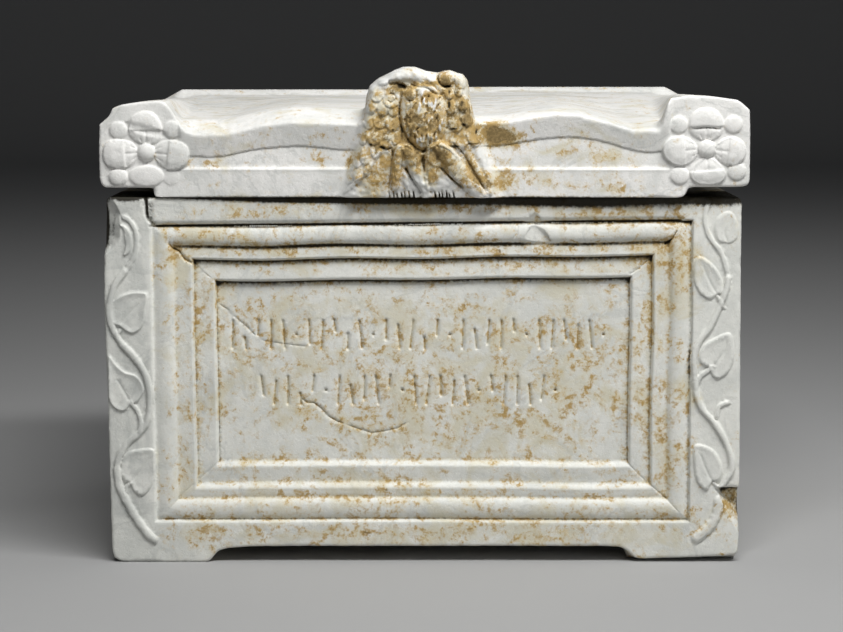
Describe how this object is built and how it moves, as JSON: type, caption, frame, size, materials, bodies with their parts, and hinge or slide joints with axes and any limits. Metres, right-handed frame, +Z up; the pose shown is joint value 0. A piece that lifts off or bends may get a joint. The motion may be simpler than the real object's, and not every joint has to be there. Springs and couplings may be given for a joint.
{
  "type": "cinerary urn",
  "caption": "Rectangular marble ash chest on low feet, with a moulded front panel, carved vines and a loose lid with rosettes and an eagle.",
  "frame": {"origin": "on the ground under the middle of the urn's overall box, eagle included", "axes": "+X to the right of a viewer facing the carved front, +Y towards the back, +Z up"},
  "size_m": [0.37, 0.312, 0.288],
  "materials": {
    "chest_marble": "weathered white marble with ochre stains and dirt in the mouldings",
    "lid_marble": "weathered white marble, cleaner than the chest, with an ochre-brown stained eagle"
  },
  "bodies": {
    "root": {"chest": "chest_marble", "lid": "lid_marble"}
  },
  "joints": []
}
